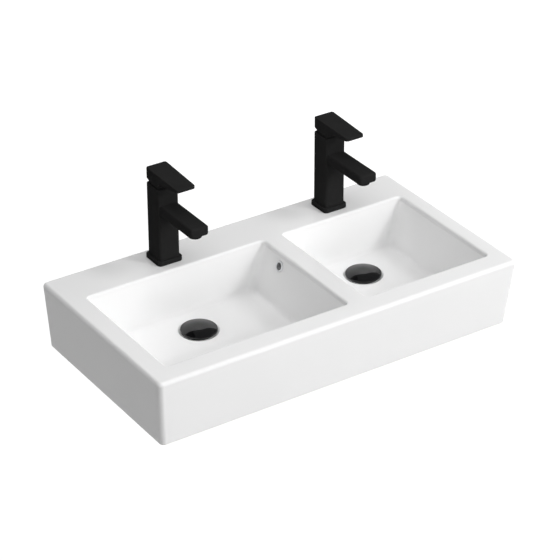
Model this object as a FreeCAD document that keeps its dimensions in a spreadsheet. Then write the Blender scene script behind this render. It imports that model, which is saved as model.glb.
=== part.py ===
import FreeCAD, Part
import math
import os
import re
import Sketcher

# Wall-hung double basin with two single-lever mixers and two click wastes.
# The origin is midway between the two wall bolt holes, on the wall plane.
# X runs to the right as seen from the front, Y towards the wall, Z up.

# Driving sizes in millimetres, angles in degrees
SIZES = {
    # basin shell
    "basin_width": 800,
    "basin_depth": 430,
    "basin_height": 142,
    "side_taper": 11,
    "front_taper": 15,
    "shell_wall": 12,
    "back_wall": 14,
    "deck_thickness": 14,
    "corner_radius": 10,
    "deck_edge": 7,
    "foot_edge": 3,
    # wall bolts
    "bolt_drop": 70,
    "bolt_spacing": 560,
    "bolt_hole_radius": 8,
    "bolt_pad_radius": 22,
    "bolt_pad_rise": 6,
    # bowls
    "left_rim": 44,
    "left_bowl_width": 394,
    "divider_width": 43,
    "right_rim": 35,
    "tap_deck": 95,
    "front_rim": 48,
    "bowl_depth": 99,
    "lip_depth": 10,
    "side_draft": 32,
    "back_draft": 6,
    "front_draft": 30,
    "rim_corner": 8,
    "floor_corner": 14,
    "floor_fillet": 10,
    "rim_edge": 4,
    "bowl_wall": 11,
    # waste outlets and overflow passage
    "waste_inset": 172,
    "waste_hole_radius": 23,
    "seat_radius": 33,
    "seat_depth": 3.5,
    "seat_flare": 7,
    "boss_radius": 38,
    "boss_drop": 35,
    "passage_drop": 13,
    "passage_height": 12,
    "passage_width": 28,
    "passage_wall": 8,
    "chamber_radius": 30,
    "overflow_inset": 160,
    "overflow_drop": 26,
    "overflow_radius": 9,
    "overflow_slot": 14,
    "overflow_length": 30,
    # overflow ring
    "ring_radius": 11,
    "ring_hole": 7.5,
    "ring_thickness": 1.5,
    "ring_length": 10,
    # mixer foot
    "tap_inset": 49,
    "tap_hole_radius": 17.5,
    "gasket_width": 46,
    "gasket_height": 2,
    "plate_width": 54,
    "plate_corner": 8,
    "plate_lift": 0.6,
    "plate_top": 10,
    "plate_edge": 2,
    "slip_clearance": 0.2,
    # mixer tower and spout
    "tower_width": 45,
    "tower_corner": 5,
    "tower_height": 152,
    "tower_edge": 1,
    "spigot_radius": 16.8,
    "spigot_length": 7,
    "spout_width": 40,
    "spout_height": 20,
    "spout_reach": 134,
    "spout_level": 107,
    "spout_edge": 4.5,
    "spout_corner": 6,
    "waterway_radius": 5,
    "waterway_rise": 9,
    "inlet_radius": 4.5,
    "inlet_depth": 14,
    "inlet_offset": 8,
    "inlet_set_forward": 3,
    "channel_radius": 3,
    # aerator
    "aerator_inset": 18,
    "aerator_radius": 12,
    "aerator_depth": 12,
    "aerator_rim_radius": 12.8,
    "aerator_rim_height": 6,
    "aerator_bore": 9.6,
    "jet_radius": 1.1,
    "jet_pitch": 3.6,
    # cartridge
    "bore_radius": 17.7,
    "bore_depth": 44,
    "nut_depth": 10,
    "nut_radius": 19,
    "nut_hole": 13.4,
    "nut_slot": 4,
    "neck_radius": 13,
    "neck_bore": 11,
    "cartridge_radius": 17.4,
    "cartridge_cavity": 15.4,
    "cartridge_base": 12,
    "cartridge_roof": 14,
    "disc_thickness": 5,
    "slider_radius": 9.4,
    "slider_thickness": 8,
    "socket_radius": 3.7,
    "socket_depth": 7.3,
    "running_gap": 0.3,
    "turret_flange_height": 3.7,
    "turret_rise": 1,
    "turret_slot_width": 8.6,
    "turret_slot_front": 8,
    "turret_slot_back": 10,
    "pivot_drop": 6,
    "pivot_radius": 1.5,
    "pivot_length": 20,
    "spindle_width": 8,
    "spindle_drop": 10,
    "spindle_rise": 22,
    "arm_radius": 2,
    "ball_radius": 3,
    "ball_drop": 22.5,
    # collar and lever
    "collar_width": 40,
    "collar_corner": 4,
    "collar_height": 1.6,
    "collar_hole": 12.2,
    "lever_gap": 4,
    "lever_height": 28,
    "lever_reach": 88,
    "lever_tip_width": 41,
    "lever_tip_corner": 6,
    "lever_tip_thickness": 5,
    "lever_fall": 4,
    "lever_root": 14,
    "lever_blend": 6,
    "lever_edge": 1.5,
    "relief_start": 3,
    "relief_angle": 22,
    "hub_radius": 8,
    "hub_lift": 2,
    "hub_pocket_radius": 15.5,
    "hub_pocket_depth": 16,
    "grub_height": 17,
    "grub_radius": 2.5,
    "grub_length": 7,
    "cap_radius": 3,
    "cap_length": 2.4,
    # mixer fixings under the deck
    "stud_radius": 4,
    "stud_offset": 9.5,
    "stud_top": 24,
    "stud_drop": 50,
    "shoe_radius": 26,
    "shoe_slot_width": 26,
    "shoe_slot_end": 3,
    "washer_height": 3,
    "clamp_height": 3,
    "fixing_nut_radius": 7.5,
    "fixing_nut_height": 14,
    # waste
    "flange_radius": 31,
    "flange_height": 2.5,
    "upper_seal_height": 1.5,
    "throat_radius": 21.5,
    "throat_depth": 4,
    "tail_radius": 20.95,
    "tail_bore": 17.5,
    "tail_length": 95,
    "tail_slot_width": 13,
    "groove_width": 2,
    "groove_depth": 0.8,
    "lower_seal_height": 6,
    "backnut_radius": 32,
    "backnut_height": 10,
    "spider_drop": 28,
    "spider_height": 6,
    "spider_arm": 4,
    "spider_hub": 7,
    "click_radius": 7,
    "click_bore": 4.4,
    "click_drop": 8,
    "click_floor": 2,
    "click_stem": 3.9,
    "click_stem_length": 10,
    "plunger_radius": 4,
    "plunger_bottom": 20,
    "plunger_top": 2.5,
    # domed plug
    "dome_radius": 36,
    "dome_lift": 1,
    "dome_edge": 1.6,
    "dome_rise": 8,
    "dome_curve": 75,
    "plug_boss_radius": 8,
    "plug_boss_drop": 6,
    "plug_seal_inner": 22,
    "plug_seal_outer": 27,
    "plug_seal_height": 1.4,
}

doc = FreeCAD.newDocument("WallBasin")
sheet = doc.addObject("Spreadsheet::Sheet", "Sizes")
for row, (name, size) in enumerate(SIZES.items(), start=1):
    sheet.set(f"A{row}", name)
    sheet.set(f"B{row}", str(size))
    sheet.setAlias(f"B{row}", name)
doc.recompute()


# Ties between the sheet and the features
def cells(text):
    """Give the sheet's names in an expression their prefix."""
    def prefixed(word):
        return "Sizes." + word.group() if word.group() in SIZES else word.group()
    return re.sub(r"[a-z][a-z0-9_]*", prefixed, text)


def value(text):
    return float(sheet.evalExpression(cells(text)))


def bind(feature, **sizes):
    for name, text in sizes.items():
        feature.setExpression(name, cells(text))


def place(item, x="0", y="0", z="0", axis="0; 0; 1", turn="0"):
    spot = f"vector({x}; {y}; {z})"
    item.setExpression("Placement", cells(f"placement({spot}; rotation(vector({axis}); {turn}))"))


def new_body(label):
    body = doc.addObject("PartDesign::Body", label)
    body.Label = label
    return body


# Sketches
def new_sketch(body, plane="XY_Plane", lift="0", right="0", up="0"):
    sketch = body.newObject("Sketcher::SketchObject", "Outline")
    support = [item for item in body.Origin.OriginFeatures if item.Role == plane][0]
    sketch.AttachmentSupport = [(support, "")]
    sketch.MapMode = "FlatFace"
    for name, text in (("x", right), ("y", up), ("z", lift)):
        sketch.setExpression(f"AttachmentOffset.Base.{name}", cells(text))
    return sketch


def tie(sketch, rule, text):
    number = sketch.addConstraint(rule)
    sketch.setExpression(f"Constraints[{number}]", cells(text))


def hold(sketch, item, end, x, y):
    tie(sketch, Sketcher.Constraint("DistanceX", -1, 1, item, end, value(x)), x)
    tie(sketch, Sketcher.Constraint("DistanceY", -1, 1, item, end, value(y)), y)


def circle(sketch, x, y, radius):
    middle = FreeCAD.Vector(value(x), value(y), 0)
    item = sketch.addGeometry(Part.Circle(middle, FreeCAD.Vector(0, 0, 1), value(radius)))
    hold(sketch, item, 3, x, y)
    tie(sketch, Sketcher.Constraint("Radius", item, value(radius)), radius)


def corner_arc(spot, before, after, radius):
    """Arc that rounds a corner, where it meets the two sides, and whether it turns left."""
    half = before.getAngle(after) / 2
    reach = radius / math.tan(half)
    middle = spot + (before + after).normalize() * (radius / math.sin(half))
    meets = spot + before * reach
    leaves = spot + after * reach
    left = before.cross(after).z < 0
    first, last = (meets, leaves) if left else (leaves, meets)
    angles = [math.atan2(end.y - middle.y, end.x - middle.x) for end in (first, last)]
    arc = Part.ArcOfCircle(Part.Circle(middle, FreeCAD.Vector(0, 0, 1), radius), angles[0], angles[1])
    return arc, meets, leaves, left


def outline(sketch, corners):
    """Closed outline. A corner is (x, y) or, when rounded, (x, y, radius)."""
    count = len(corners)
    spots = [FreeCAD.Vector(value(corner[0]), value(corner[1]), 0) for corner in corners]
    rounds = []
    for number, corner in enumerate(corners):
        spot = spots[number]
        before = (spots[number - 1] - spot).normalize()
        after = (spots[(number + 1) % count] - spot).normalize()
        if len(corner) == 3:
            rounds.append(corner_arc(spot, before, after, value(corner[2])))
        else:
            rounds.append((None, spot, spot, True))
    sides = []
    for number in range(count):
        begin = rounds[number][2]
        end = rounds[(number + 1) % count][1]
        sides.append(sketch.addGeometry(Part.LineSegment(begin, end)))
    for number, corner in enumerate(corners):
        arriving, leaving = sides[number - 1], sides[number]
        arc, meets, leaves, left = rounds[number]
        if arc is None:
            sketch.addConstraint(Sketcher.Constraint("Coincident", arriving, 2, leaving, 1))
            hold(sketch, leaving, 1, corner[0], corner[1])
            continue
        bend = sketch.addGeometry(arc)
        first, last = (1, 2) if left else (2, 1)
        sketch.addConstraint(Sketcher.Constraint("Tangent", arriving, 2, bend, first))
        sketch.addConstraint(Sketcher.Constraint("Tangent", bend, last, leaving, 1))
        tie(sketch, Sketcher.Constraint("Radius", bend, value(corner[2])), corner[2])
        mark = sketch.addGeometry(Part.Point(spots[number]), True)
        hold(sketch, mark, 1, corner[0], corner[1])
        sketch.addConstraint(Sketcher.Constraint("PointOnObject", mark, 1, arriving))
        sketch.addConstraint(Sketcher.Constraint("PointOnObject", mark, 1, leaving))


def rectangle(x, y, radius, grow="0"):
    """Corners of a rounded rectangle between two pairs of sides."""
    low_x, high_x = f"({x[0]}) - ({grow})", f"({x[1]}) + ({grow})"
    low_y, high_y = f"({y[0]}) - ({grow})", f"({y[1]}) + ({grow})"
    spots = ((low_x, low_y), (high_x, low_y), (high_x, high_y), (low_x, high_y))
    return [(spot_x, spot_y, radius) for spot_x, spot_y in spots]


def square(width, radius):
    sides = (f"-({width}) / 2", f"({width}) / 2")
    return rectangle(sides, sides, radius)


# Features
def pad(body, sketch, length):
    feature = body.newObject("PartDesign::Pad", "Pad")
    feature.Profile = sketch
    bind(feature, Length=length)


def pocket(body, sketch, length):
    """Cut along the sketch's own normal."""
    feature = body.newObject("PartDesign::Pocket", "Pocket")
    feature.Profile = sketch
    feature.Reversed = True
    bind(feature, Length=length)


def turned(body, corners, cut=False, **offsets):
    """Solid of revolution about the vertical axis, from radius and height pairs."""
    sketch = new_sketch(body, "XZ_Plane", **offsets)
    outline(sketch, corners)
    feature = body.newObject("PartDesign::Groove" if cut else "PartDesign::Revolution", "Turning")
    feature.Profile = sketch
    feature.ReferenceAxis = (sketch, ["V_Axis"])
    feature.Angle = 360


def loft(body, upper, lower, cut=False):
    """Straight-sided body between two outlines, each given as corners and a height."""
    sections = []
    for corners, height in (upper, lower):
        sketch = new_sketch(body, lift=height)
        outline(sketch, corners)
        sections.append(sketch)
    feature = body.newObject("PartDesign::SubtractiveLoft" if cut else "PartDesign::AdditiveLoft", "Loft")
    feature.Profile = sections[0]
    feature.Sections = [sections[1]]
    feature.Ruled = True


def block(body, x, y, z, cut=False):
    feature = body.newObject("PartDesign::SubtractiveBox" if cut else "PartDesign::AdditiveBox", "Block")
    spans = [f"({high}) - ({low})" for low, high in (x, y, z)]
    bind(feature, Length=spans[0], Width=spans[1], Height=spans[2])
    place(feature, x[0], y[0], z[0])


def rod(body, radius, length, x="0", y="0", z="0", axis="0; 0; 1", turn="0", cut=False):
    kind = "PartDesign::SubtractiveCylinder" if cut else "PartDesign::AdditiveCylinder"
    feature = body.newObject(kind, "Rod")
    bind(feature, Radius=radius, Height=length)
    place(feature, x, y, z, axis, turn)


def forward_rod(body, radius, length, x, y, z, cut=False):
    """Rod that runs from its start towards the front."""
    rod(body, radius, length, x, y, z, "1; 0; 0", "90", cut)


def soften(body, radius, wanted):
    """Round the edges that the test picks out."""
    doc.recompute()
    base = body.Tip
    names = [f"Edge{number}" for number, edge in enumerate(base.Shape.Edges, start=1) if wanted(edge)]
    if not names:
        raise RuntimeError(f"no edge to round on {body.Label}")
    feature = body.newObject("PartDesign::Fillet", "Fillet")
    feature.Base = (base, names)
    bind(feature, Radius=radius)
    doc.recompute()


def points(edge):
    first, last = edge.ParameterRange
    return [edge.valueAt(first + (last - first) * step / 4) for step in range(5)]


def level_at(edge, height):
    return all(abs(point.z - height) < 0.01 for point in points(edge))


# Named heights and places of the basin
DECK = "bolt_drop"
FOOT = "(bolt_drop - basin_height)"
FLOOR = "(bolt_drop - bowl_depth)"
BOWL_X = {
    "left": ("(left_rim - basin_width / 2)", "(left_rim + left_bowl_width - basin_width / 2)"),
    "right": ("(left_rim + left_bowl_width + divider_width - basin_width / 2)",
              "(basin_width / 2 - right_rim)"),
}
BOWL_Y = ("(front_rim - basin_depth)", "-tap_deck")
DIVIDER_X = "(left_rim + left_bowl_width + divider_width / 2 - basin_width / 2)"
MIDDLE_X = {side: f"(({low} + {high}) / 2)" for side, (low, high) in BOWL_X.items()}
TAP_Y = "-tap_inset"
WASTE_Y = "-waste_inset"
WALL_TILT = "atan(side_draft / (bowl_depth - lip_depth))"
OVERFLOW_IN = "side_draft * (overflow_drop - lip_depth) / (bowl_depth - lip_depth)"
OVERFLOW_X = {
    "left": f"({BOWL_X['left'][1]} - {OVERFLOW_IN})",
    "right": f"({BOWL_X['right'][0]} + {OVERFLOW_IN})",
}
OVERFLOW_TURN = {"left": f"90 deg + {WALL_TILT}", "right": f"-90 deg - {WALL_TILT}"}
OVERFLOW_Z = "(bolt_drop - overflow_drop)"
PASSAGE_Z = (f"{FLOOR} - passage_drop - passage_height", f"{FLOOR} - passage_drop")


def floor_sides(side):
    low, high = BOWL_X[side]
    across = (f"{low} + side_draft", f"{high} - side_draft")
    return across, (f"{BOWL_Y[0]} + front_draft", f"{BOWL_Y[1]} - back_draft")


def bowl_hollow(side):
    """The room inside a bowl: a short upright lip, sloping walls and a rounded floor."""
    body = new_body(f"{side}_bowl_hollow")
    rim = rectangle(BOWL_X[side], BOWL_Y, "rim_corner")
    floor = rectangle(*floor_sides(side), "floor_corner")
    loft(body, (rim, f"{DECK} - lip_depth"), (floor, FLOOR))
    soften(body, "floor_fillet", lambda edge: level_at(edge, value(FLOOR)))
    sketch = new_sketch(body, lift=f"{DECK} - lip_depth")
    outline(sketch, rim)
    pad(body, sketch, "2 * lip_depth")
    return body


def bowl_skin(side):
    """The outside of a bowl, one wall thickness larger than its hollow."""
    body = new_body(f"{side}_bowl_skin")
    rim = rectangle(BOWL_X[side], BOWL_Y, "rim_corner + bowl_wall", "bowl_wall")
    floor = rectangle(*floor_sides(side), "floor_corner + bowl_wall", "bowl_wall")
    loft(body, (rim, f"{DECK} - deck_thickness / 2"), (floor, f"{FLOOR} - bowl_wall"))
    soften(body, "floor_fillet + bowl_wall", lambda edge: level_at(edge, value(f"{FLOOR} - bowl_wall")))
    return body


def combine(body, kind, others):
    feature = body.newObject("PartDesign::Boolean", kind)
    feature.Type = kind
    feature.setObjects(others)


def top_edges(body, outer):
    """Edges round the deck: its outer border, or the rims of the bowls."""
    faces = [face for face in body.Tip.Shape.Faces if abs(face.CenterOfMass.z - value(DECK)) < 0.01]
    deck = max(faces, key=lambda face: face.Area)
    wires = [wire for wire in deck.Wires if wire.isSame(deck.OuterWire) == outer]
    wires = [wire for wire in wires if wire.Length > 8 * value("tap_hole_radius")]
    return [edge for wire in wires for edge in wire.Edges]


def among(edges):
    return lambda edge: any(edge.isSame(other) for other in edges)


def make_basin():
    """Slip-cast vitreous china shell, open underneath, with both bowls and the overflow passage."""
    body = new_body("basin")
    half = "basin_width / 2"
    # flat-sided outside: upright at the wall, drawn in towards the foot on the other sides
    outside = body.newObject("PartDesign::AdditiveWedge", "Wedge")
    bind(outside, Xmin=f"side_taper - {half}", Xmax=f"{half} - side_taper", X2min=f"-{half}", X2max=half,
         Zmin="0", Zmax="basin_depth - front_taper", Z2min="0", Z2max="basin_depth", Ymin=FOOT, Ymax=DECK)
    place(outside, axis="1; 0; 0", turn="90")
    soften(body, "corner_radius", is_upright)
    soften(body, "deck_edge", among(top_edges(body, outer=True)))
    soften(body, "foot_edge", lambda edge: level_at(edge, value(FOOT)))
    roof = f"{DECK} - deck_thickness"
    share = "deck_thickness / basin_height"
    wide = f"({half} - shell_wall - side_taper)"
    wide_roof = f"({half} - shell_wall - side_taper * {share})"
    open_foot = rectangle((f"-{wide}", wide), ("shell_wall + front_taper - basin_depth", "-back_wall"),
                          "corner_radius")
    front_roof = f"shell_wall + front_taper * {share} - basin_depth"
    open_roof = rectangle((f"-{wide_roof}", wide_roof), (front_roof, "-back_wall"), "corner_radius")
    loft(body, (open_roof, roof), (open_foot, FOOT), cut=True)
    doc.recompute()
    combine(body, "Fuse", [bowl_skin(side) for side in BOWL_X])
    # bosses round the wastes, joined by the overflow passage, and pads behind the wall bolts
    for side in BOWL_X:
        rod(body, "boss_radius", "boss_drop - passage_wall", MIDDLE_X[side], WASTE_Y, f"{FLOOR} - boss_drop")
    span = ("-passage_width / 2 - passage_wall", "passage_width / 2 + passage_wall")
    passage_y = (f"{WASTE_Y} + {span[0]}", f"{WASTE_Y} + {span[1]}")
    passage_floor = f"{PASSAGE_Z[0]} - passage_wall"
    block(body, (MIDDLE_X["left"], MIDDLE_X["right"]), passage_y, (passage_floor, f"{FLOOR} - passage_wall"))
    block(body, (f"{DIVIDER_X} - divider_width", f"{DIVIDER_X} + divider_width"),
          (passage_y[0], "overflow_length / 2 + passage_wall - overflow_inset"),
          (passage_floor, f"{DECK} - lip_depth"))
    for way in ("-", ""):
        forward_rod(body, "bolt_pad_radius", "bolt_pad_rise + back_wall / 2", f"{way}bolt_spacing / 2",
                    "-back_wall / 2", "0")
    doc.recompute()
    combine(body, "Cut", [bowl_hollow(side) for side in BOWL_X])
    # overflow passage: down the divider and along to both wastes
    block(body, (f"{DIVIDER_X} - overflow_slot / 2", f"{DIVIDER_X} + overflow_slot / 2"),
          ("-overflow_inset - overflow_length / 2", "overflow_length / 2 - overflow_inset"),
          (PASSAGE_Z[0], f"{OVERFLOW_Z} + overflow_radius"), cut=True)
    block(body, (MIDDLE_X["left"], MIDDLE_X["right"]),
          (f"{WASTE_Y} - passage_width / 2", f"{WASTE_Y} + passage_width / 2"), PASSAGE_Z, cut=True)
    for side in BOWL_X:
        outward = "-" if side == "left" else "+"
        start_x = f"{OVERFLOW_X[side]} {outward} overflow_radius / 2 * cos({WALL_TILT})"
        start_z = f"{OVERFLOW_Z} + overflow_radius / 2 * sin({WALL_TILT})"
        rod(body, "overflow_radius", "2 * divider_width / 3", start_x, "-overflow_inset", start_z, "0; 1; 0",
            OVERFLOW_TURN[side], cut=True)
        # waste outlet: flared seat, hole and the chamber that takes the overflow
        turned(body, [("0", "seat_depth"), ("seat_radius + 2 * seat_flare", "seat_depth"),
                      ("seat_radius", "-seat_depth"), ("waste_hole_radius", "-seat_depth"),
                      ("waste_hole_radius", "-passage_drop"), ("chamber_radius", "-passage_drop"),
                      ("chamber_radius", "-passage_drop - passage_height"),
                      ("waste_hole_radius", "-passage_drop - passage_height"),
                      ("waste_hole_radius", "-boss_drop - seat_depth"), ("0", "-boss_drop - seat_depth")],
               cut=True, lift="waste_inset", right=MIDDLE_X[side], up=FLOOR)
        rod(body, "tap_hole_radius", "2 * deck_thickness", MIDDLE_X[side], TAP_Y,
            f"{DECK} - 1.5 * deck_thickness", cut=True)
    for way in ("-", ""):
        forward_rod(body, "bolt_hole_radius", "2 * (back_wall + bolt_pad_rise)", f"{way}bolt_spacing / 2",
                    "back_wall", "0", cut=True)
    doc.recompute()
    soften(body, "rim_edge", among(top_edges(body, outer=False)))
    return body


def is_upright(edge):
    heights = [point.z for point in points(edge)]
    return max(heights) - min(heights) > 1


def make_overflow_ring(side):
    """Plated trim ring pushed into the overflow hole."""
    body = new_body(f"{side}_overflow_ring")
    turned(body, [("ring_hole", "-ring_thickness"), ("ring_radius", "-ring_thickness", "ring_thickness / 2"),
                  ("ring_radius", "0"), ("overflow_radius - slip_clearance", "0"),
                  ("overflow_radius - slip_clearance", "ring_length"), ("ring_hole", "ring_length")])
    place(body, OVERFLOW_X[side], "-overflow_inset", OVERFLOW_Z, "0; 1; 0", OVERFLOW_TURN[side])
    return body


# Mixers: heights are above the deck, the axis is the tap hole
TOP = "(plate_top + tower_height)"
SEAT = f"({TOP} - bore_depth)"
SPIGOT_Z = "(plate_top - spigot_length)"
AERATOR_Y = "(aerator_inset - spout_reach)"
DISC_Z = f"({SEAT} + cartridge_base)"
SLIDER_Z = f"({DISC_Z} + disc_thickness + running_gap)"
PIVOT_Z = f"({TOP} - pivot_drop)"


def on_deck(body, side):
    place(body, MIDDLE_X[side], TAP_Y, DECK)
    return body


def make_gasket(side):
    """Rubber gasket that seals the base plate to the glaze."""
    body = new_body(f"{side}_tap_gasket")
    sketch = new_sketch(body)
    outline(sketch, square("gasket_width", "plate_corner / 2"))
    circle(sketch, "0", "0", "tap_hole_radius")
    pad(body, sketch, "gasket_height")
    return on_deck(body, side)


def make_base_plate(side):
    """Square brass foot plate with a recess for the gasket."""
    body = new_body(f"{side}_tap_base_plate")
    sketch = new_sketch(body, lift="plate_lift")
    outline(sketch, square("plate_width", "plate_corner"))
    circle(sketch, "0", "0", "spigot_radius + slip_clearance")
    pad(body, sketch, "plate_top - plate_lift")
    soften(body, "plate_edge", lambda edge: level_at(edge, value("plate_top")) and edge.Length < 100)
    recess = new_sketch(body)
    outline(recess, square("gasket_width + 2 * slip_clearance", "plate_corner / 2"))
    pocket(body, recess, "gasket_height")
    return on_deck(body, side)


def make_tower(side):
    """Brass casting: square tower, flat spout, cartridge bore and waterways."""
    body = new_body(f"{side}_tap_body")
    sketch = new_sketch(body, lift="plate_top")
    outline(sketch, square("tower_width", "tower_corner"))
    pad(body, sketch, "tower_height")
    soften(body, "tower_edge", lambda edge: level_at(edge, value(TOP)))
    spout = new_sketch(body, lift="spout_level")
    half = "spout_width / 2"
    outline(spout, [(f"-{half}", "-spout_reach", "spout_corner"), (half, "-spout_reach", "spout_corner"),
                    (half, "-tower_width / 4"), (f"-{half}", "-tower_width / 4")])
    pad(body, spout, "spout_height")
    heights = [value("spout_level"), value("spout_level + spout_height")]
    soften(body, "spout_edge", lambda edge: any(level_at(edge, height) for height in heights)
           and all(point.y < value("-tower_width / 2") + 0.01 for point in points(edge))
           and any(point.y < value("-tower_width / 2") - 0.01 for point in points(edge)))
    rod(body, "spigot_radius", "spigot_length + tower_edge", z=SPIGOT_Z)
    mouth = "nut_radius + slip_clearance / 2"
    turned(body, [("0", SEAT), ("bore_radius", SEAT), ("bore_radius", f"{TOP} - nut_depth"),
                  (mouth, f"{TOP} - nut_depth"), (mouth, f"{TOP} + tower_edge"), ("0", f"{TOP} + tower_edge")],
           cut=True)
    for way in ("-", ""):
        inlet = (f"{way}inlet_offset", "-inlet_set_forward")
        rod(body, "inlet_radius", "inlet_depth", *inlet, SPIGOT_Z, cut=True)
        rod(body, "channel_radius", f"{SEAT} - {SPIGOT_Z}", *inlet, SPIGOT_Z, cut=True)
    rod(body, "stud_radius + slip_clearance / 2", f"stud_top - {SPIGOT_Z}", "0", "stud_offset", SPIGOT_Z,
        cut=True)
    rod(body, "aerator_radius", "aerator_depth", "0", AERATOR_Y, "spout_level", cut=True)
    forward_rod(body, "waterway_radius", f"-{AERATOR_Y} - bore_radius / 2", "0", "-bore_radius / 2",
                "spout_level + waterway_rise", cut=True)
    return on_deck(body, side)


def make_aerator(side):
    """Threaded aerator housing in the spout tip and its jet insert."""
    housing = new_body(f"{side}_aerator_housing")
    thread = "aerator_radius - slip_clearance"
    low, high = "spout_level - aerator_rim_height", "spout_level + aerator_depth - 2"
    turned(housing, [("aerator_bore", low), ("aerator_rim_radius", low, "aerator_rim_height / 3"),
                     ("aerator_rim_radius", "spout_level"), (thread, "spout_level"), (thread, high),
                     ("aerator_bore", high)])
    insert = new_body(f"{side}_aerator_insert")
    jets = new_sketch(insert, lift=f"{low} + aerator_rim_height / 5")
    circle(jets, "0", "0", "aerator_bore - slip_clearance")
    circle(jets, "0", "0", "jet_radius")
    rings = int(value("aerator_bore - slip_clearance - 1.5 * jet_radius") / value("jet_pitch"))
    for ring in range(1, rings + 1):
        for number in range(6 * ring):
            turn = f"{60 / ring * number} deg"
            circle(jets, f"{ring} * jet_pitch * cos({turn})", f"{ring} * jet_pitch * sin({turn})", "jet_radius")
    pad(insert, jets, "aerator_depth")
    for body in (housing, insert):
        place(body, MIDDLE_X[side], f"{TAP_Y} + {AERATOR_Y}", DECK)
    return [housing, insert]


def make_cartridge(side):
    """Ceramic-disc cartridge: housing, discs, turret, pivot pin and spindle."""
    housing = new_body(f"{side}_cartridge_housing")
    roof, shoulder, lip = f"{TOP} - cartridge_roof", f"{TOP} - nut_depth", f"{TOP} - running_gap"
    turned(housing, [("0", SEAT), ("cartridge_radius", SEAT), ("cartridge_radius", shoulder),
                     ("neck_radius", shoulder), ("neck_radius", lip), ("neck_bore", lip), ("neck_bore", roof),
                     ("cartridge_cavity", roof), ("cartridge_cavity", DISC_Z), ("0", DISC_Z)])
    disc = new_body(f"{side}_fixed_disc")
    rod(disc, "cartridge_cavity - slip_clearance", "disc_thickness", z=DISC_Z)
    for way in ("-", ""):
        inlet = (f"{way}inlet_offset", "-inlet_set_forward")
        rod(housing, "channel_radius", "cartridge_base", *inlet, SEAT, cut=True)
        rod(disc, "channel_radius", "disc_thickness", *inlet, DISC_Z, cut=True)
    outlet = ("0", "-bore_radius * 0.7")
    rod(housing, "channel_radius", "cartridge_base", *outlet, SEAT, cut=True)
    rod(disc, "channel_radius", "disc_thickness", *outlet, DISC_Z, cut=True)
    slider = new_body(f"{side}_sliding_disc")
    rod(slider, "slider_radius", "slider_thickness", z=SLIDER_Z)
    rod(slider, "socket_radius", "socket_depth", z=f"{SLIDER_Z} + slider_thickness - socket_depth", cut=True)
    turret = new_body(f"{side}_cartridge_turret")
    flange = f"{roof} - running_gap"
    turned(turret, [("0", f"{flange} - turret_flange_height"),
                    ("cartridge_cavity - running_gap", f"{flange} - turret_flange_height"),
                    ("cartridge_cavity - running_gap", flange), ("neck_bore - running_gap", flange),
                    ("neck_bore - running_gap", f"{TOP} + turret_rise"), ("0", f"{TOP} + turret_rise")])
    slot = ("-turret_slot_width / 2", "turret_slot_width / 2")
    block(turret, slot, ("-turret_slot_front", "turret_slot_back"), (SEAT, f"{TOP} + 2 * turret_rise"),
          cut=True)
    pivot = ("-pivot_length / 2", "0", PIVOT_Z, "0; 1; 0", "90")
    cross = "pivot_radius + slip_clearance / 4"
    rod(turret, cross, "2 * pivot_length", "-pivot_length", *pivot[1:], cut=True)
    pin = new_body(f"{side}_pivot_pin")
    rod(pin, "pivot_radius", "pivot_length", *pivot)
    spindle = new_body(f"{side}_spindle")
    half = ("-spindle_width / 2", "spindle_width / 2")
    block(spindle, half, half, (f"{TOP} - spindle_drop", f"{TOP} + spindle_rise"))
    rod(spindle, "arm_radius", "ball_drop - spindle_drop", z=f"{TOP} - ball_drop")
    ball = spindle.newObject("PartDesign::AdditiveSphere", "Ball")
    bind(ball, Radius="ball_radius")
    place(ball, z=f"{TOP} - ball_drop")
    rod(spindle, "pivot_radius + slip_clearance / 2", "pivot_length", *pivot, cut=True)
    return [on_deck(body, side) for body in (housing, disc, slider, turret, pin, spindle)]


def make_cartridge_nut(side):
    """Slotted brass ring nut that clamps the cartridge."""
    body = new_body(f"{side}_cartridge_nut")
    low, high = f"{TOP} - nut_depth", f"{TOP} - running_gap"
    turned(body, [("nut_hole", low), ("nut_radius", low), ("nut_radius", high), ("nut_hole", high)])
    across = ("-nut_radius", "nut_radius")
    slot = ("-nut_slot / 2", "nut_slot / 2")
    depth = (f"{high} - nut_slot", TOP)
    block(body, across, slot, depth, cut=True)
    block(body, slot, across, depth, cut=True)
    return on_deck(body, side)


def make_collar(side):
    """Square trim plate that covers the nut, inset from the tower."""
    body = new_body(f"{side}_collar")
    sketch = new_sketch(body, lift=TOP)
    outline(sketch, square("collar_width", "collar_corner"))
    circle(sketch, "0", "0", "collar_hole")
    pad(body, sketch, "collar_height")
    return on_deck(body, side)


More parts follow.
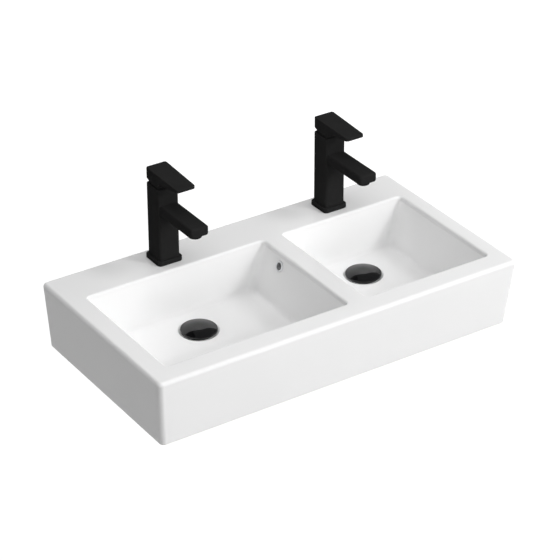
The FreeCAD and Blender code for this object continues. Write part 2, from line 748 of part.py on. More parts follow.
def make_lever(side):
    """Lever handle: block over the tower, relieved at the back, and a thinning lever to the front."""
    body = new_body(f"{side}_lever_handle")
    under = f"({TOP} + lever_gap)"
    summit = f"({under} + lever_height)"
    back, tip = "tower_width / 2", "lever_tip_width / 2"
    plan = new_sketch(body, lift=under)
    outline(plan, [(f"-{tip}", "-lever_reach", "lever_tip_corner"), (tip, "-lever_reach", "lever_tip_corner"),
                   (back, back, "tower_corner"), (f"-{back}", back, "tower_corner")])
    pad(body, plan, "lever_height + tower_edge")
    slope = f"lever_fall / (lever_reach + {back})"
    side_view = [
        # top face, falling a little to the tip
        [("lever_reach", f"{summit} + (lever_reach - {back}) * {slope}"),
         ("lever_reach", f"{summit} + lever_height"), ("-2 * lever_reach", f"{summit} + lever_height"),
         ("-2 * lever_reach", f"{summit} - (2 * lever_reach + {back}) * {slope}")],
        # room under the lever
        [(f"-{back}", TOP), (f"-{back}", f"{TOP} + lever_root", "lever_blend"),
         ("-lever_reach - lever_blend", f"{summit} - lever_fall - lever_tip_thickness"),
         ("-lever_reach - lever_blend", TOP)],
        # relief at the back, so that the block can tip
        [("relief_start", TOP), ("tower_width", TOP),
         ("tower_width", f"{under} + (tower_width - relief_start) * tan(relief_angle * 1 deg)"),
         ("relief_start", under)],
    ]
    for corners in side_view:
        sketch = new_sketch(body, "YZ_Plane", lift="-tower_width")
        outline(sketch, corners)
        pocket(body, sketch, "2 * tower_width")
    doc.recompute()
    slant = value(slope)
    crest = value(summit) - slant * value(back)
    soften(body, "lever_edge", lambda edge: all(abs(point.z - crest - slant * point.y) < 0.01
                                                for point in points(edge)))
    ring = new_sketch(body, lift=under)
    circle(ring, "0", "0", "hub_pocket_radius")
    circle(ring, "0", "0", "hub_radius")
    pocket(body, ring, "hub_pocket_depth")
    rod(body, "hub_pocket_radius", "lever_gap + hub_lift", z=TOP, cut=True)
    socket = ("-spindle_width / 2 - slip_clearance / 2", "spindle_width / 2 + slip_clearance / 2")
    block(body, socket, socket, (TOP, f"{TOP} + spindle_rise + slip_clearance"), cut=True)
    bore = ("0", back, f"{TOP} + grub_height")
    forward_rod(body, "grub_radius", f"{back} - spindle_width / 2", *bore, cut=True)
    forward_rod(body, "cap_radius + slip_clearance / 2", "cap_length", *bore, cut=True)
    grub = new_body(f"{side}_grub_screw")
    start = ("0", "spindle_width / 2 + grub_length", bore[2])
    forward_rod(grub, "grub_radius - slip_clearance / 2", "grub_length", *start)
    forward_rod(grub, "grub_radius / 2", "grub_length / 2", *start, cut=True)
    cap = new_body(f"{side}_grub_cap")
    forward_rod(cap, "cap_radius", "cap_length", *bore)
    return [on_deck(item, side) for item in (body, grub, cap)]


def horseshoe(body, top, height):
    """Horseshoe under the deck: open to the front for the supply tails, with a hole for the stud."""
    sketch = new_sketch(body, lift=f"{top} - {height}")
    circle(sketch, "0", "0", "shoe_radius")
    circle(sketch, "0", "stud_offset", "stud_radius + slip_clearance")
    pad(body, sketch, height)
    block(body, ("-shoe_slot_width / 2", "shoe_slot_width / 2"), ("-2 * shoe_radius", "shoe_slot_end"),
          (f"{top} - 2 * {height}", f"{top} + {height}"), cut=True)


def make_fixings(side):
    """Stud, rubber horseshoe, steel horseshoe and nut that clamp the mixer from below."""
    names = ("stud", "washer", "clamp", "nut")
    stud, washer, clamp, nut = [new_body(f"{side}_tap_{name}") for name in names]
    rod(stud, "stud_radius", "stud_top + stud_drop", "0", "stud_offset", "-stud_drop")
    horseshoe(washer, "-deck_thickness", "washer_height")
    horseshoe(clamp, "-deck_thickness - washer_height", "clamp_height")
    low = "-deck_thickness - washer_height - clamp_height - fixing_nut_height"
    prism = nut.newObject("PartDesign::AdditivePrism", "Hexagon")
    prism.Polygon = 6
    bind(prism, Circumradius="fixing_nut_radius", Height="fixing_nut_height")
    place(prism, "0", "stud_offset", low)
    rod(nut, "stud_radius + slip_clearance / 2", "fixing_nut_height", "0", "stud_offset", low, cut=True)
    return [on_deck(body, side) for body in (stud, washer, clamp, nut)]


# Wastes: heights are above the bowl floor, the axis is the waste hole
SEAL_TOP = "(upper_seal_height - seat_depth)"
FLANGE_TOP = f"({SEAL_TOP} + flange_height)"
TAIL_END = "(-tail_length)"
NUT_TOP = "(-boss_drop - lower_seal_height)"
NUT_FOOT = f"({NUT_TOP} - backnut_height)"


def on_floor(body, side):
    place(body, MIDDLE_X[side], WASTE_Y, FLOOR)
    return body


def make_waste_body(side):
    """Brass waste: flange, slotted threaded tail and the spider that carries the click mechanism."""
    body = new_body(f"{side}_waste_body")
    # a relief groove under the backnut parts its thread from the one that the trap's nut takes
    groove = "tail_radius - groove_depth"
    groove_foot = f"{NUT_FOOT} - groove_width"
    turned(body, [("tail_bore", TAIL_END), ("tail_radius", TAIL_END), ("tail_radius", groove_foot),
                  (groove, groove_foot), (groove, NUT_FOOT), ("tail_radius", NUT_FOOT), ("tail_radius", SEAL_TOP),
                  ("flange_radius", SEAL_TOP), ("flange_radius", FLANGE_TOP, "flange_height / 2"),
                  ("throat_radius", FLANGE_TOP), ("tail_bore", f"{FLANGE_TOP} - throat_depth")])
    reach = ("-tail_radius - 1", "tail_radius + 1")
    slot = ("-tail_slot_width / 2", "tail_slot_width / 2")
    block(body, reach, slot, ("-passage_drop - passage_height", "-passage_drop"), cut=True)
    spider_z = ("-spider_drop - spider_height", "-spider_drop")
    across = ("-tail_bore - 1", "tail_bore + 1")
    arm = ("-spider_arm / 2", "spider_arm / 2")
    block(body, across, arm, spider_z)
    block(body, arm, across, spider_z)
    rod(body, "spider_hub", "spider_height", z=spider_z[0])
    rod(body, "click_stem + slip_clearance / 2", "2 * spider_height", z=f"{spider_z[0]} - 1", cut=True)
    return on_floor(body, side)


def make_waste_seals(side):
    """Upper seal under the flange, lower seal and backnut under the boss."""
    upper = new_body(f"{side}_waste_upper_seal")
    hole = "tail_radius + slip_clearance"
    turned(upper, [(hole, "-seat_depth"), ("flange_radius", "-seat_depth"), ("flange_radius", SEAL_TOP),
                   (hole, SEAL_TOP)])
    lower = new_body(f"{side}_waste_lower_seal")
    turned(lower, [(hole, NUT_TOP), ("flange_radius", NUT_TOP),
                   ("flange_radius", "-boss_drop - lower_seal_height / 2"),
                   ("flange_radius - lower_seal_height / 2", "-boss_drop"), (hole, "-boss_drop")])
    nut = new_body(f"{side}_backnut")
    prism = nut.newObject("PartDesign::AdditivePrism", "Octagon")
    prism.Polygon = 8
    bind(prism, Circumradius="backnut_radius", Height="backnut_height")
    place(prism, z=NUT_FOOT)
    rod(nut, "tail_radius + slip_clearance / 2", "backnut_height", z=NUT_FOOT, cut=True)
    return [on_floor(body, side) for body in (upper, lower, nut)]


def make_click(side):
    """Click mechanism on the spider: housing with a threaded stem, and its plunger."""
    housing = new_body(f"{side}_click_housing")
    foot = "-spider_drop"
    stem = f"{foot} - click_stem_length"
    turned(housing, [("0", stem), ("click_stem", stem), ("click_stem", foot), ("click_radius", foot),
                     ("click_radius", "-click_drop"), ("click_bore", "-click_drop"),
                     ("click_bore", f"{foot} + click_floor"), ("0", f"{foot} + click_floor")])
    plunger = new_body(f"{side}_plunger")
    rod(plunger, "plunger_radius", "plunger_bottom + plunger_top", z="-plunger_bottom")
    return [on_floor(body, side) for body in (housing, plunger)]


def make_plug(side):
    """Domed plug screwed on the plunger, and the flat seal in its underside."""
    plug = new_body(f"{side}_plug")
    crown = "dome_lift + dome_rise"
    seal_low = f"{FLANGE_TOP} + running_gap"
    seal_high = f"{seal_low} + plug_seal_height"
    bore = "plunger_radius + slip_clearance / 2"
    inner, outer = "plug_seal_inner - slip_clearance / 2", "plug_seal_outer + slip_clearance / 2"
    turned(plug, [(bore, "-plug_boss_drop"), ("plug_boss_radius", "-plug_boss_drop"),
                  ("plug_boss_radius", "dome_lift"), (inner, "dome_lift"), (inner, seal_high),
                  (outer, seal_high), (outer, "dome_lift"), ("dome_radius", "dome_lift"),
                  ("dome_radius", "dome_lift + 2 * dome_edge", "dome_edge"),
                  ("dome_radius / 2", crown, "dome_curve"), ("0", crown), ("0", "plunger_top"),
                  (bore, "plunger_top")])
    seal = new_body(f"{side}_plug_seal")
    turned(seal, [("plug_seal_inner", seal_low), ("plug_seal_outer", seal_low),
                  ("plug_seal_outer", seal_high), ("plug_seal_inner", seal_high)])
    return [on_floor(body, side) for body in (plug, seal)]


def group(label, members):
    """Like fasteners, kept as separate solids of one sub-part."""
    item = doc.addObject("Part::Compound", label)
    item.Label = label
    item.Links = members
    return item


pieces = [make_basin()]
fasteners = {"tap_studs": [], "tap_washers": [], "tap_clamps": [], "tap_nuts": [], "waste_backnuts": []}
for side in ("left", "right"):
    pieces += [make_overflow_ring(side), make_gasket(side), make_base_plate(side), make_tower(side)]
    pieces += make_aerator(side)
    pieces += make_cartridge(side)
    pieces += [make_cartridge_nut(side), make_collar(side)]
    pieces += make_lever(side)
    upper_seal, lower_seal, backnut = make_waste_seals(side)
    pieces += [make_waste_body(side), upper_seal, lower_seal]
    pieces += make_click(side)
    pieces += make_plug(side)
    for label, piece in zip(fasteners, make_fixings(side) + [backnut]):
        fasteners[label].append(piece)
pieces += [group(label, members) for label, members in fasteners.items()]
doc.recompute()

# Check and write the sub-parts
for item in doc.Objects:
    if "Invalid" in item.State or "Error" in item.State:
        raise RuntimeError(f"{item.Label} did not build: {item.State}")
for piece in pieces:
    if piece.Shape.isNull() or not piece.Shape.isValid():
        raise RuntimeError(f"{piece.Label} has no sound shape")
os.makedirs("parts", exist_ok=True)
for piece in pieces:
    piece.Shape.exportStep(f"parts/{piece.Label}.step")
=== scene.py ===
import math

import bpy
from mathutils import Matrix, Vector


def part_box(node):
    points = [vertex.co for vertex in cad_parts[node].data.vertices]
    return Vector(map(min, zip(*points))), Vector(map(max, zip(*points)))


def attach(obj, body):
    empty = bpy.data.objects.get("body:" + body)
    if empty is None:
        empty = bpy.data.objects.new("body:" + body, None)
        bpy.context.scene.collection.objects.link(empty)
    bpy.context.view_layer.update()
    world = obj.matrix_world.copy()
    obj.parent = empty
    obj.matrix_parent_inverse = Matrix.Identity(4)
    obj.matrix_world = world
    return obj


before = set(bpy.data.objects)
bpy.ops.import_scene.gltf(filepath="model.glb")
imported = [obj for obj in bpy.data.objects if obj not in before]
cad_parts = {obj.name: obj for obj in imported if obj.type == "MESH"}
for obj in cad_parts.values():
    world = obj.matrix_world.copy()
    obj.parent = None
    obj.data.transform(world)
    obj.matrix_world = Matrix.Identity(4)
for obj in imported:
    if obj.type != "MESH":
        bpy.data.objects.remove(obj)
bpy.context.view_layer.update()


# Basin
# One slip-cast piece of vitreous china with two bowls, a tap deck and a tapered apron.
# It is sprayed with white glaze and fired once; the wall side and the underside stay bare.
MM = 0.001


def linear(text):
    """Colour of a hex value like #F0F0EE, as linear light."""
    parts = [int(text[start:start + 2], 16) / 255 for start in (1, 3, 5)]
    parts = [part / 12.92 if part <= 0.04045 else ((part + 0.055) / 1.055) ** 2.4 for part in parts]
    return (*parts, 1.0)


def set_inputs(tree, item, inputs):
    """Set inputs of a node. Each is given a value, or the output that is linked to it."""
    for key, given in inputs.items():
        if isinstance(given, bpy.types.NodeSocket):
            tree.links.new(given, item.inputs[key])
        else:
            item.inputs[key].default_value = given


def add(tree, kind, inputs=None, **settings):
    """Add a node with its settings and inputs."""
    item = tree.nodes.new(kind)
    for key, setting in settings.items():
        setattr(item, key, setting)
    set_inputs(tree, item, inputs or {})
    return item


def finish_named(name):
    """A new material: the material, its node tree and the object's own coordinates in metres."""
    material = bpy.data.materials.new(name)
    material.use_nodes = True
    tree = material.node_tree
    place = add(tree, "ShaderNodeTexCoord").outputs["Object"]
    return material, tree, place


def dress(material, *nodes):
    """Give CAD nodes a material, all over."""
    for name in nodes:
        for face_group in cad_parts[name].material_slots:
            face_group.material = material


# A mix node has sockets of the same names for numbers, vectors and colours. The colour ones go by number.
COLOUR_A = 6
COLOUR_B = 7
COLOUR_MIX = 2

# White zirconium glaze over a white body: a clear wet gloss with a slow ripple from the spray gun,
# a little greyer where it is thin. The bare body is chalky and slightly cream. It shows within BARE_DEPTH
# of the wall, and on faces that point down more steeply than BARE_NORMAL.
GLAZE_CLOUD = 160 * MM
GLAZE_RIPPLE = 28 * MM
GLAZE_THICK = "#F8F8F8"
GLAZE_THIN = "#F4F4F4"
BODY_GRAIN = 1.2 * MM
BODY_PALE = "#E4E0D6"
BODY_CREAM = "#D6D1C6"
BODY_ROUGHNESS = 0.8
BARE_DEPTH = 0.4 * MM
BARE_NORMAL = -0.35
china, tree, place = finish_named("glazed_vitreous_china")
cloud = add(tree, "ShaderNodeTexNoise", {"Vector": place, "Scale": 1 / GLAZE_CLOUD, "Detail": 3.0})
white = add(tree, "ShaderNodeMix", {"Factor": cloud.outputs["Fac"], COLOUR_A: linear(GLAZE_THICK),
                                    COLOUR_B: linear(GLAZE_THIN)}, data_type="RGBA")
grain = add(tree, "ShaderNodeTexNoise", {"Vector": place, "Scale": 1 / BODY_GRAIN, "Detail": 4.0})
biscuit = add(tree, "ShaderNodeMix", {"Factor": grain.outputs["Fac"], COLOUR_A: linear(BODY_PALE),
                                      COLOUR_B: linear(BODY_CREAM)}, data_type="RGBA")
spot = add(tree, "ShaderNodeSeparateXYZ", {"Vector": place})
facing = add(tree, "ShaderNodeSeparateXYZ", {"Vector": add(tree, "ShaderNodeNewGeometry").outputs["Normal"]})
on_wall = add(tree, "ShaderNodeMath", {0: spot.outputs["Y"], 1: -BARE_DEPTH}, operation="GREATER_THAN")
underneath = add(tree, "ShaderNodeMath", {0: facing.outputs["Z"], 1: BARE_NORMAL}, operation="LESS_THAN")
bare = add(tree, "ShaderNodeMath", {0: on_wall.outputs[0], 1: underneath.outputs[0]}, operation="MAXIMUM")
colour = add(tree, "ShaderNodeMix", {"Factor": bare.outputs[0], COLOUR_A: white.outputs[COLOUR_MIX],
                                     COLOUR_B: biscuit.outputs[COLOUR_MIX]}, data_type="RGBA")
gloss = add(tree, "ShaderNodeMapRange", {"Value": cloud.outputs["Fac"], "To Min": 0.05, "To Max": 0.10})
gloss_or_bare = add(tree, "ShaderNodeMix", {"Factor": bare.outputs[0], "A": gloss.outputs["Result"],
                                            "B": BODY_ROUGHNESS})
ripple = add(tree, "ShaderNodeTexNoise", {"Vector": place, "Scale": 1 / GLAZE_RIPPLE, "Detail": 1.0})
relief = add(tree, "ShaderNodeMix", {"Factor": bare.outputs[0], "A": ripple.outputs["Fac"],
                                     "B": grain.outputs["Fac"]})
waves = add(tree, "ShaderNodeBump", {"Strength": 0.10, "Distance": 0.5 * MM,
                                     "Height": relief.outputs["Result"]})
set_inputs(tree, tree.nodes["Principled BSDF"], {"Base Color": colour.outputs[COLOUR_MIX],
                                                 "Roughness": gloss_or_bare.outputs["Result"],
                                                 "Normal": waves.outputs["Normal"], "IOR": 1.52})
dress(china, "basin")


# Overflow rings
# Thin brass trim rings, pressed into the overflow holes on both sides of the divider.
# They are blasted fine, then nickel and chrome plated.
SIDES = ("left", "right")


def both_sides(*names):
    """Full names of pieces that the left and the right side have one of each."""
    return [f"{side}_{name}" for side in SIDES for name in names]


# Satin chrome: a bright cool grey that blurs what it mirrors.
PLATE_CLOUD = 3 * MM
PLATE_BRIGHT = "#E9EAEB"
PLATE_GREY = "#E0E1E3"
chrome, tree, place = finish_named("satin_chrome_plate")
haze = add(tree, "ShaderNodeTexNoise", {"Vector": place, "Scale": 1 / PLATE_CLOUD, "Detail": 2.0})
tone = add(tree, "ShaderNodeMix", {"Factor": haze.outputs["Fac"], COLOUR_A: linear(PLATE_BRIGHT),
                                   COLOUR_B: linear(PLATE_GREY)}, data_type="RGBA")
polish = add(tree, "ShaderNodeMapRange", {"Value": haze.outputs["Fac"], "To Min": 0.42, "To Max": 0.52})
set_inputs(tree, tree.nodes["Principled BSDF"], {"Base Color": tone.outputs[COLOUR_MIX],
                                                 "Roughness": polish.outputs["Result"], "Metallic": 1.0})
dress(chrome, *both_sides("overflow_ring"))


# Wastes
# Each bowl drains through a turned brass waste body, clamped between an upper and a lower seal by a backnut.
# The seals are moulded rubber. The body is plated and lacquered black, and its tail ends in a G 1 1/4 pipe
# thread for the trap's nut.

# Gloss black lacquer over plated brass: almost a black mirror, with very fine wiping marks.
LACQUER_CLOUD = 9 * MM
LACQUER_BLACK = "#0B0B0C"
LACQUER_WIPED = "#121213"
lacquer, tree, place = finish_named("gloss_black_lacquer")
haze = add(tree, "ShaderNodeTexNoise", {"Vector": place, "Scale": 1 / LACQUER_CLOUD, "Detail": 5.0})
tone = add(tree, "ShaderNodeMix", {"Factor": haze.outputs["Fac"], COLOUR_A: linear(LACQUER_BLACK),
                                   COLOUR_B: linear(LACQUER_WIPED)}, data_type="RGBA")
polish = add(tree, "ShaderNodeMapRange", {"Value": haze.outputs["Fac"], "To Min": 0.03, "To Max": 0.08})
set_inputs(tree, tree.nodes["Principled BSDF"], {"Base Color": tone.outputs[COLOUR_MIX],
                                                 "Roughness": polish.outputs["Result"], "IOR": 1.5})
dress(lacquer, *both_sides("waste_body"))

# Moulded EPDM rubber: dull black with a faint bloom.
RUBBER_GRAIN = 0.9 * MM
RUBBER_BLACK = "#1A1A1B"
RUBBER_BLOOM = "#2B2B2C"
rubber, tree, place = finish_named("moulded_epdm_rubber")
bloom = add(tree, "ShaderNodeTexNoise", {"Vector": place, "Scale": 1 / RUBBER_GRAIN, "Detail": 4.0})
tone = add(tree, "ShaderNodeMix", {"Factor": bloom.outputs["Fac"], COLOUR_A: linear(RUBBER_BLACK),
                                   COLOUR_B: linear(RUBBER_BLOOM)}, data_type="RGBA")
skin = add(tree, "ShaderNodeBump", {"Strength": 0.3, "Distance": 0.1 * MM, "Height": bloom.outputs["Fac"]})
set_inputs(tree, tree.nodes["Principled BSDF"], {"Base Color": tone.outputs[COLOUR_MIX],
                                                 "Roughness": 0.75, "Normal": skin.outputs["Normal"]})
dress(rubber, *both_sides("waste_upper_seal", "waste_lower_seal"))

# Turned brass: warm yellow with fine tool rings along the axis. The rings are about 0.2 mm apart on the
# real piece and are drawn coarser here so that they show. A wave texture of scale 1 turns by 20 radians
# a metre.
TOOL_RING = 1.0 * MM
WAVE_RADIANS = 20
BRASS_YELLOW = "#C9A35A"
BRASS_BROWN = "#B88F47"
brass, tree, place = finish_named("turned_brass")
rings = add(tree, "ShaderNodeTexWave", {"Vector": place, "Scale": 2 * math.pi / (WAVE_RADIANS * TOOL_RING),
                                        "Distortion": 1.5, "Detail": 3.0}, bands_direction="Z")
tone = add(tree, "ShaderNodeMix", {"Factor": rings.outputs["Fac"], COLOUR_A: linear(BRASS_YELLOW),
                                   COLOUR_B: linear(BRASS_BROWN)}, data_type="RGBA")
polish = add(tree, "ShaderNodeMapRange", {"Value": rings.outputs["Fac"], "To Min": 0.24, "To Max": 0.36})
set_inputs(tree, tree.nodes["Principled BSDF"], {"Base Color": tone.outputs[COLOUR_MIX],
                                                 "Roughness": polish.outputs["Result"], "Metallic": 1.0})
dress(brass, "waste_backnuts")

# The solids are plain where a thread is, so each thread is a ridge at the true pitch that stands a little
# proud of them. Its foot is sunk in the solid, and at both ends it starts from inside, at THREAD_START of its
# height. Foot and crest are half widths, as shares of the pitch.
THREAD_STEPS = 40
THREAD_SINK = 0.1 * MM
THREAD_START = 0.1
THREAD_FOOT = 0.42
THREAD_CREST = 0.08
THREAD_EDGE = math.radians(30)


def thread(name, middle, radius, low, high, pitch, height):
    """Helical ridge round an upright cylinder from low to high, run out over half a turn at each end."""
    profile = ((-THREAD_FOOT * pitch, 0.0), (-THREAD_CREST * pitch, 1.0),
               (THREAD_CREST * pitch, 1.0), (THREAD_FOOT * pitch, 0.0))
    corners = len(profile)
    steps = round((high - low - pitch) / pitch * THREAD_STEPS)
    points = []
    for step in range(steps + 1):
        turn = 2 * math.pi * step / THREAD_STEPS
        run_out = min(1.0, 2 * step / THREAD_STEPS, 2 * (steps - step) / THREAD_STEPS)
        grown = max(THREAD_START, run_out)
        for along, share in profile:
            reach = radius - THREAD_SINK + share * grown * (height + THREAD_SINK)
            points.append((middle[0] + reach * math.cos(turn), middle[1] + reach * math.sin(turn),
                           low + pitch / 2 + pitch * step / THREAD_STEPS + along))
    faces = [(start + corner, start + corners + corner,
              start + corners + (corner + 1) % corners, start + (corner + 1) % corners)
             for start in range(0, steps * corners, corners) for corner in range(corners)]
    faces.append(tuple(range(corners)))
    faces.append(tuple(reversed(range(steps * corners, (steps + 1) * corners))))
    mesh = bpy.data.meshes.new(name)
    mesh.from_pydata(points, [], faces)
    mesh.shade_smooth()
    mesh.set_sharp_from_angle(angle=THREAD_EDGE)
    piece = bpy.data.objects.new(name, mesh)
    bpy.context.scene.collection.objects.link(piece)
    return piece


TAIL_RADIUS = 20.95 * MM
TAIL_LENGTH = 42 * MM
TAIL_PITCH = 2.309 * MM
TAIL_RIDGE = 0.4 * MM
for side in SIDES:
    low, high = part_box(f"{side}_waste_body")
    ridge = thread(f"{side}_tail_thread", (low + high) / 2, TAIL_RADIUS, low.z, low.z + TAIL_LENGTH,
                   TAIL_PITCH, TAIL_RIDGE)
    ridge.data.materials.append(lacquer)
    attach(ridge, "fixed_group")


# Plugs
# A click housing of moulded acetal stands on the spider of each waste. Its steel plunger carries the plug.
# The plug is a brass dome, lacquered as the waste body is, with a rubber seal underneath.
dress(lacquer, *both_sides("plug"))
dress(rubber, *both_sides("plug_seal"))

# Moulded acetal: milky white, waxy.
MOULD_CLOUD = 4 * MM
ACETAL_WHITE = "#ECEAE4"
ACETAL_CREAM = "#E2DFD7"
acetal, tree, place = finish_named("moulded_white_acetal")
cloud = add(tree, "ShaderNodeTexNoise", {"Vector": place, "Scale": 1 / MOULD_CLOUD, "Detail": 2.0})
tone = add(tree, "ShaderNodeMix", {"Factor": cloud.outputs["Fac"], COLOUR_A: linear(ACETAL_WHITE),
                                   COLOUR_B: linear(ACETAL_CREAM)}, data_type="RGBA")
wax = add(tree, "ShaderNodeMapRange", {"Value": cloud.outputs["Fac"], "To Min": 0.34, "To Max": 0.46})
set_inputs(tree, tree.nodes["Principled BSDF"], {"Base Color": tone.outputs[COLOUR_MIX],
                                                 "Roughness": wax.outputs["Result"]})
dress(acetal, *both_sides("click_housing"))

# Zinc-plated steel: cool grey with a faint spangle.
SPANGLE = 1.6 * MM
ZINC_BRIGHT = "#B9BDC0"
ZINC_GREY = "#A6AAAD"
steel, tree, place = finish_named("zinc_plated_steel")
spangle = add(tree, "ShaderNodeTexVoronoi", {"Vector": place, "Scale": 1 / SPANGLE})
tone = add(tree, "ShaderNodeMix", {"Factor": spangle.outputs["Distance"], COLOUR_A: linear(ZINC_BRIGHT),
                                   COLOUR_B: linear(ZINC_GREY)}, data_type="RGBA")
polish = add(tree, "ShaderNodeMapRange", {"Value": spangle.outputs["Distance"],
                                          "To Min": 0.28, "To Max": 0.42})
set_inputs(tree, tree.nodes["Principled BSDF"], {"Base Color": tone.outputs[COLOUR_MIX],
                                                 "Roughness": polish.outputs["Result"], "Metallic": 1.0})
dress(steel, *both_sides("plunger"))


# Mixers
# Each mixer is a brass casting, a square tower with a flat spout, on a square foot plate and a rubber gasket.
# An aerator with a moulded insert sits under the tip of the spout.
# Tower, plate and aerator housing are shot blasted and coated matt black after machining.
dress(rubber, *both_sides("tap_gasket"))

# Matt black electrocoat: a deep soft black with a fine even grain and almost no sheen. The grain is about
# 0.3 mm on the real coat and is drawn coarser here so that it shows.
COAT_GRAIN = 1.0 * MM
COAT_CLOUD = 30 * MM
COAT_BLACK = "#242424"
COAT_SOFT = "#2A2A2A"
COAT_SHEEN = 0.004
coat, tree, place = finish_named("matt_black_electrocoat")
grain = add(tree, "ShaderNodeTexNoise", {"Vector": place, "Scale": 1 / COAT_GRAIN, "Detail": 2.0})
cloud = add(tree, "ShaderNodeTexNoise", {"Vector": place, "Scale": 1 / COAT_CLOUD, "Detail": 2.0})
tone = add(tree, "ShaderNodeMix", {"Factor": cloud.outputs["Fac"], COLOUR_A: linear(COAT_BLACK),
                                   COLOUR_B: linear(COAT_SOFT)}, data_type="RGBA")
matt = add(tree, "ShaderNodeMapRange", {"Value": grain.outputs["Fac"], "To Min": 0.55, "To Max": 0.70})
peel = add(tree, "ShaderNodeBump", {"Strength": 0.12, "Distance": 0.05 * MM, "Height": grain.outputs["Fac"]})
set_inputs(tree, tree.nodes["Principled BSDF"], {"Base Color": tone.outputs[COLOUR_MIX],
                                                 "Roughness": matt.outputs["Result"],
                                                 "Normal": peel.outputs["Normal"],
                                                 "Specular IOR Level": COAT_SHEEN})
dress(coat, *both_sides("tap_base_plate", "tap_body", "aerator_housing"))

# Moulded grey polypropylene: dull and even, faintly clouded by the flow in the mould.
INSERT_GREY = "#8A8C8E"
INSERT_DARK = "#7C7E80"
polypropylene, tree, place = finish_named("moulded_grey_polypropylene")
cloud = add(tree, "ShaderNodeTexNoise", {"Vector": place, "Scale": 1 / MOULD_CLOUD, "Detail": 2.0})
tone = add(tree, "ShaderNodeMix", {"Factor": cloud.outputs["Fac"], COLOUR_A: linear(INSERT_GREY),
                                   COLOUR_B: linear(INSERT_DARK)}, data_type="RGBA")
set_inputs(tree, tree.nodes["Principled BSDF"], {"Base Color": tone.outputs[COLOUR_MIX], "Roughness": 0.5})
dress(polypropylene, *both_sides("aerator_insert"))


# Tap fixings
# A zinc-plated steel stud comes down from each mixer through the tap hole. A rubber and a steel horseshoe
# and a brass nut on it clamp the mixer to the deck from below.
# The studs have a rolled M8 thread, drawn on their free ends.
dress(rubber, "tap_washers")
dress(steel, "tap_studs", "tap_clamps")
dress(brass, "tap_nuts")

STUD_RADIUS = 4 * MM
STUD_PITCH = 1.25 * MM
STUD_RIDGE = 0.25 * MM
low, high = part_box("tap_studs")
stud_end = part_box("tap_nuts")[0].z
for side, middle_x in zip(SIDES, (low.x + STUD_RADIUS, high.x - STUD_RADIUS)):
    ridge = thread(f"{side}_stud_thread", (middle_x, (low.y + high.y) / 2), STUD_RADIUS, low.z, stud_end,
                   STUD_PITCH, STUD_RIDGE)
    ridge.data.materials.append(steel)
    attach(ridge, "fixed_group")


# Cartridges
# A 35 mm mixing cartridge sits in each tower, held down by a turned brass nut. Its housing and turret are
# moulded acetal, its pin and spindle steel.
# Two lapped alumina discs seal against each other inside it; the upper one slides with the lever.
dress(acetal, *both_sides("cartridge_housing", "cartridge_turret"))
dress(brass, *both_sides("cartridge_nut"))
dress(steel, *both_sides("pivot_pin", "spindle"))

# Lapped alumina: ivory white, smooth as a plate, with a very fine grain.
ALUMINA_GRAIN = 0.6 * MM
ALUMINA_IVORY = "#F0ECE2"
ALUMINA_DULL = "#E7E2D6"
alumina, tree, place = finish_named("lapped_alumina")
grain = add(tree, "ShaderNodeTexNoise", {"Vector": place, "Scale": 1 / ALUMINA_GRAIN, "Detail": 2.0})
tone = add(tree, "ShaderNodeMix", {"Factor": grain.outputs["Fac"], COLOUR_A: linear(ALUMINA_IVORY),
                                   COLOUR_B: linear(ALUMINA_DULL)}, data_type="RGBA")
set_inputs(tree, tree.nodes["Principled BSDF"], {"Base Color": tone.outputs[COLOUR_MIX], "Roughness": 0.16})
dress(alumina, *both_sides("fixed_disc", "sliding_disc"))


# Levers
# Each lever handle stands on a square collar. Both are cast and coated matt black, as the mixer is.
# A steel grub screw at the back clamps the handle on the spindle, and a small moulded cap closes its hole.
dress(coat, *both_sides("collar", "lever_handle"))
dress(steel, *both_sides("grub_screw"))

# Moulded black ABS: a plain dull black with the fine grain of its mould.
CAP_GRAIN = 1.0 * MM
CAP_BLACK = "#151515"
CAP_SOFT = "#1E1E1E"
abs_black, tree, place = finish_named("moulded_black_abs")
grain = add(tree, "ShaderNodeTexNoise", {"Vector": place, "Scale": 1 / CAP_GRAIN, "Detail": 2.0})
tone = add(tree, "ShaderNodeMix", {"Factor": grain.outputs["Fac"], COLOUR_A: linear(CAP_BLACK),
                                   COLOUR_B: linear(CAP_SOFT)}, data_type="RGBA")
set_inputs(tree, tree.nodes["Principled BSDF"], {"Base Color": tone.outputs[COLOUR_MIX], "Roughness": 0.5})
dress(abs_black, *both_sides("grub_cap"))


# Floor
# The basin hangs on a wall with its deck 850 mm up, so the studio floor is that far below.
# The floor is white to the camera, as the background is, and still takes a soft shadow.
# It grows fully white away from the basin, so that it has no edge against the background.
DECK_HEIGHT = 850 * MM
FLOOR_SIZE = 24.0
SHADOW_REACH = 1.5
NEAR_GLOW = 0.68
FAR_GLOW = 1.0
PAPER_GREY = "#C9C9C9"
WHITE = "#FFFFFF"


def shows_background(tree):
    """1 for a ray that shows the background: one from the camera, off a mirror or through glass."""
    ray = add(tree, "ShaderNodeLightPath")
    shown = ray.outputs["Is Camera Ray"]
    for kind in ("Is Glossy Ray", "Is Transmission Ray"):
        shown = add(tree, "ShaderNodeMath", {0: shown, 1: ray.outputs[kind]}, operation="MAXIMUM").outputs[0]
    return shown


bpy.ops.mesh.primitive_plane_add(size=FLOOR_SIZE, location=(0, 0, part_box("basin")[1].z - DECK_HEIGHT))
floor = bpy.context.object
floor.name = "studio_floor"

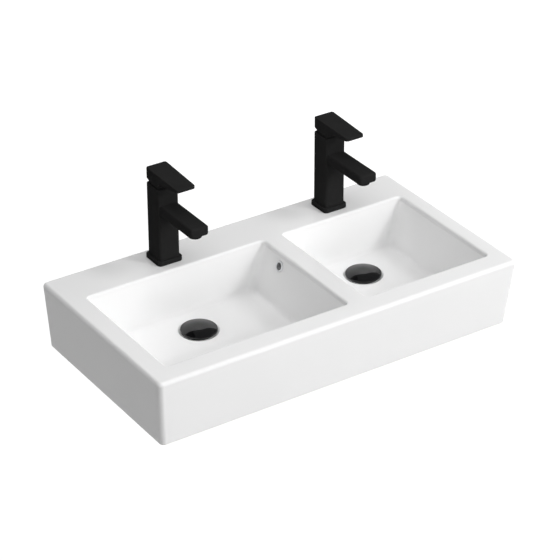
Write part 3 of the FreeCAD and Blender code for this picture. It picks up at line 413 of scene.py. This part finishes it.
# White paper: dead matt. The light that it takes is laid over a glow of its own, which a shadow can't darken.
paper, tree, place = finish_named("white_paper_floor")
reach = add(tree, "ShaderNodeVectorMath", {"Vector": place}, operation="LENGTH")
level = add(tree, "ShaderNodeMapRange", {"Value": reach.outputs["Value"], "From Min": SHADOW_REACH,
                                         "From Max": 2 * SHADOW_REACH, "To Min": NEAR_GLOW,
                                         "To Max": FAR_GLOW})
glow = add(tree, "ShaderNodeEmission", {"Color": linear(WHITE), "Strength": level.outputs["Result"]})
shadowed = add(tree, "ShaderNodeBsdfDiffuse", {"Color": linear(PAPER_GREY)})
both = add(tree, "ShaderNodeAddShader", {0: glow.outputs[0], 1: shadowed.outputs[0]})
paper_mix = add(tree, "ShaderNodeMixShader", {0: shows_background(tree), 1: shadowed.outputs[0],
                                              2: both.outputs[0]})
set_inputs(tree, tree.nodes["Material Output"], {"Surface": paper_mix.outputs[0]})
floor.data.materials.append(paper)


# Light and camera
# A small key lamp at the front right draws the shadows in the bowls. Large softboxes at the front, at the
# right, overhead, above the front rim and high on the left fill them, in a room hung with white paper.
# A low one behind the basin lifts the wall side out of the dark.
MIDDLE = Vector((0.0, -0.2, 0.0))


def softbox(name, place, width, height, power, mirrored=True):
    """Rectangular lamp aimed at the basin. One that isn't mirrored leaves no image in the glossy surfaces."""
    lamp = bpy.data.lights.new(name, "AREA")
    lamp.shape = "RECTANGLE"
    lamp.size = width
    lamp.size_y = height
    lamp.energy = power
    item = bpy.data.objects.new(name, lamp)
    item.location = place
    item.rotation_euler = (Vector(place) - MIDDLE).to_track_quat("Z", "Y").to_euler()
    item.visible_glossy = mirrored
    bpy.context.scene.collection.objects.link(item)


softbox("key_lamp", place=(2.0, -2.8, 2.3), width=0.8, height=0.8, power=49, mirrored=False)
softbox("front_softbox", place=(0.0, -4.8, 1.4), width=5.0, height=2.6, power=90, mirrored=False)
softbox("right_softbox", place=(4.4, -1.4, 1.8), width=4.0, height=2.6, power=74)
softbox("overhead_softbox", place=(0.0, 1.2, 4.2), width=4.0, height=4.0, power=46, mirrored=False)
softbox("near_softbox", place=(0.0, -1.6, 2.4), width=2.0, height=2.0, power=16, mirrored=False)
softbox("left_softbox", place=(-1.7, -0.5, 4.2), width=3.0, height=3.0, power=44, mirrored=False)
softbox("back_softbox", place=(0.0, 4.5, 0.4), width=4.0, height=2.0, power=26, mirrored=False)

# The room is white paper up to some 15 degrees above the horizon, and from there it fades to a dim ceiling.
# The camera sees white all over, mirrors see paper and ceiling, and the basin gets a small share of that
# light. The paper's end and the ceiling's start are sines of the angle above the horizon.
PAPER_END = 0.25
CEILING_START = 0.6
PAPER_LEVEL = 1.0
CEILING_LEVEL = 0.15
ROOM_SHARE = 0.05
world = bpy.data.worlds.new("paper_room")
bpy.context.scene.world = world
world.use_nodes = True
tree = world.node_tree
toward = add(tree, "ShaderNodeSeparateXYZ", {"Vector": add(tree, "ShaderNodeTexCoord").outputs["Generated"]})
level = add(tree, "ShaderNodeMapRange", {"Value": toward.outputs["Z"], "From Min": PAPER_END,
                                         "From Max": CEILING_START, "To Min": PAPER_LEVEL,
                                         "To Max": CEILING_LEVEL})
dimmed = add(tree, "ShaderNodeMath", {0: level.outputs["Result"], 1: ROOM_SHARE}, operation="MULTIPLY")
room = add(tree, "ShaderNodeBackground", {"Color": linear(WHITE), "Strength": dimmed.outputs[0]})
from_camera = add(tree, "ShaderNodeLightPath").outputs["Is Camera Ray"]
shown_level = add(tree, "ShaderNodeMath", {0: level.outputs["Result"], 1: from_camera}, operation="MAXIMUM")
shown_room = add(tree, "ShaderNodeBackground", {"Color": linear(WHITE), "Strength": shown_level.outputs[0]})
room_mix = add(tree, "ShaderNodeMixShader", {0: shows_background(tree), 1: room.outputs[0],
                                             2: shown_room.outputs[0]})
set_inputs(tree, tree.nodes["World Output"], {"Surface": room_mix.outputs[0]})

# The camera stands where the corners of the basin in the photo put it, far off with a long lens.
AZIMUTH = math.radians(-33.519)
ELEVATION = math.radians(30.278)
DISTANCE = 4.7054
AIM = Vector((0.06708, -0.10912, -0.02237))
FOCAL_PIXELS = 2400
PHOTO_PIXELS = 560
SENSOR_WIDTH = 36
lens = bpy.data.cameras.new("camera")
lens.sensor_width = SENSOR_WIDTH
lens.lens = FOCAL_PIXELS / PHOTO_PIXELS * SENSOR_WIDTH
lens.clip_end = 100
camera = bpy.data.objects.new("camera", lens)
away = Vector((math.sin(AZIMUTH) * math.cos(ELEVATION), -math.cos(AZIMUTH) * math.cos(ELEVATION),
               math.sin(ELEVATION)))
camera.location = AIM + DISTANCE * away
camera.rotation_euler = away.to_track_quat("Z", "Y").to_euler()
bpy.context.scene.collection.objects.link(camera)
bpy.context.scene.camera = camera
bpy.context.scene.view_settings.view_transform = "Standard"
